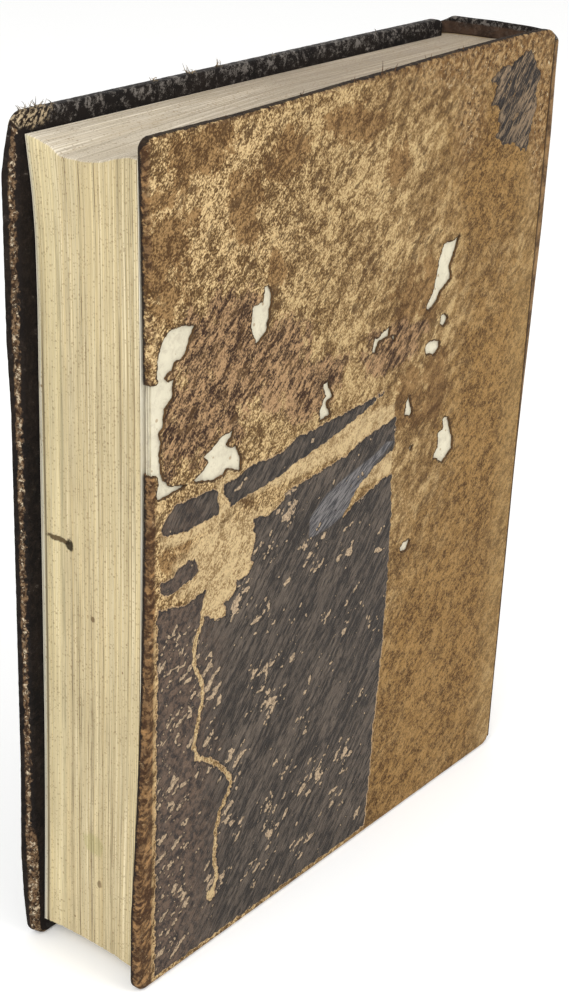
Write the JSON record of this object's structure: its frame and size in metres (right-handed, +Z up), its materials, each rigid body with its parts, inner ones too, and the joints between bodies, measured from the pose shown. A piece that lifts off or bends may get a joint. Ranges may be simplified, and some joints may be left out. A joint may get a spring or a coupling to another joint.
{
  "type": "hardback book",
  "caption": "Old leather-bound hardback book standing on its tail, with two boards that open on their joints, a sewn block of leaves and a worn back cover.",
  "frame": {"origin": "under the middle of the book, on the surface that it stands on", "axes": "+Z up, tail to head; +X through the thickness towards the back cover; -Y towards the fore-edge, +Y towards the spine"},
  "size_m": [0.0444, 0.194, 0.25],
  "materials": {
    "leaf_edges": "matte cut paper edges, yellowed",
    "endpaper": "matte aged paper",
    "lining_paper": "matte brown paper soaked with glue",
    "pasteboard": "matte pasteboard",
    "dark_leather": "dark brown leather, rubbed at the edges",
    "worn_leather": "bare tan leather with its grain worn off",
    "dark_grain": "dark grey-brown grain, scuffed",
    "cord": "matte hemp cord"
  },
  "bodies": {
    "text_block": {"leaves": "leaf_edges", "front_flyleaf": "endpaper", "back_flyleaf": "endpaper", "spine_lining": "lining_paper", "spine_leather": "dark_leather", "sewing_cord_1": "cord", "sewing_cord_2": "cord", "sewing_cord_3": "cord", "sewing_cord_4": "cord", "sewing_cord_5": "cord"},
    "front_cover": {"front_board": "pasteboard", "front_leather": "dark_leather", "front_pastedown": "endpaper", "front_slip_1": "cord", "front_slip_2": "cord", "front_slip_3": "cord", "front_slip_4": "cord", "front_slip_5": "cord"},
    "back_cover": {"back_board": "pasteboard", "back_leather": "worn_leather", "back_pastedown": "endpaper", "back_grain_panel": "dark_grain", "back_grain_corner": "dark_grain", "back_slip_1": "cord", "back_slip_2": "cord", "back_slip_3": "cord", "back_slip_4": "cord", "back_slip_5": "cord"}
  },
  "joints": [
    {"name": "front_joint", "type": "hinge", "parent": "text_block", "child": "front_cover", "pos_m": [-0.0222, 0.09, 0.125], "axis": [0, 0, -1], "range_deg": [0, 170]},
    {"name": "back_joint", "type": "hinge", "parent": "text_block", "child": "back_cover", "pos_m": [0.0222, 0.09, 0.125], "axis": [0, 0, 1], "range_deg": [0, 170]}
  ]
}
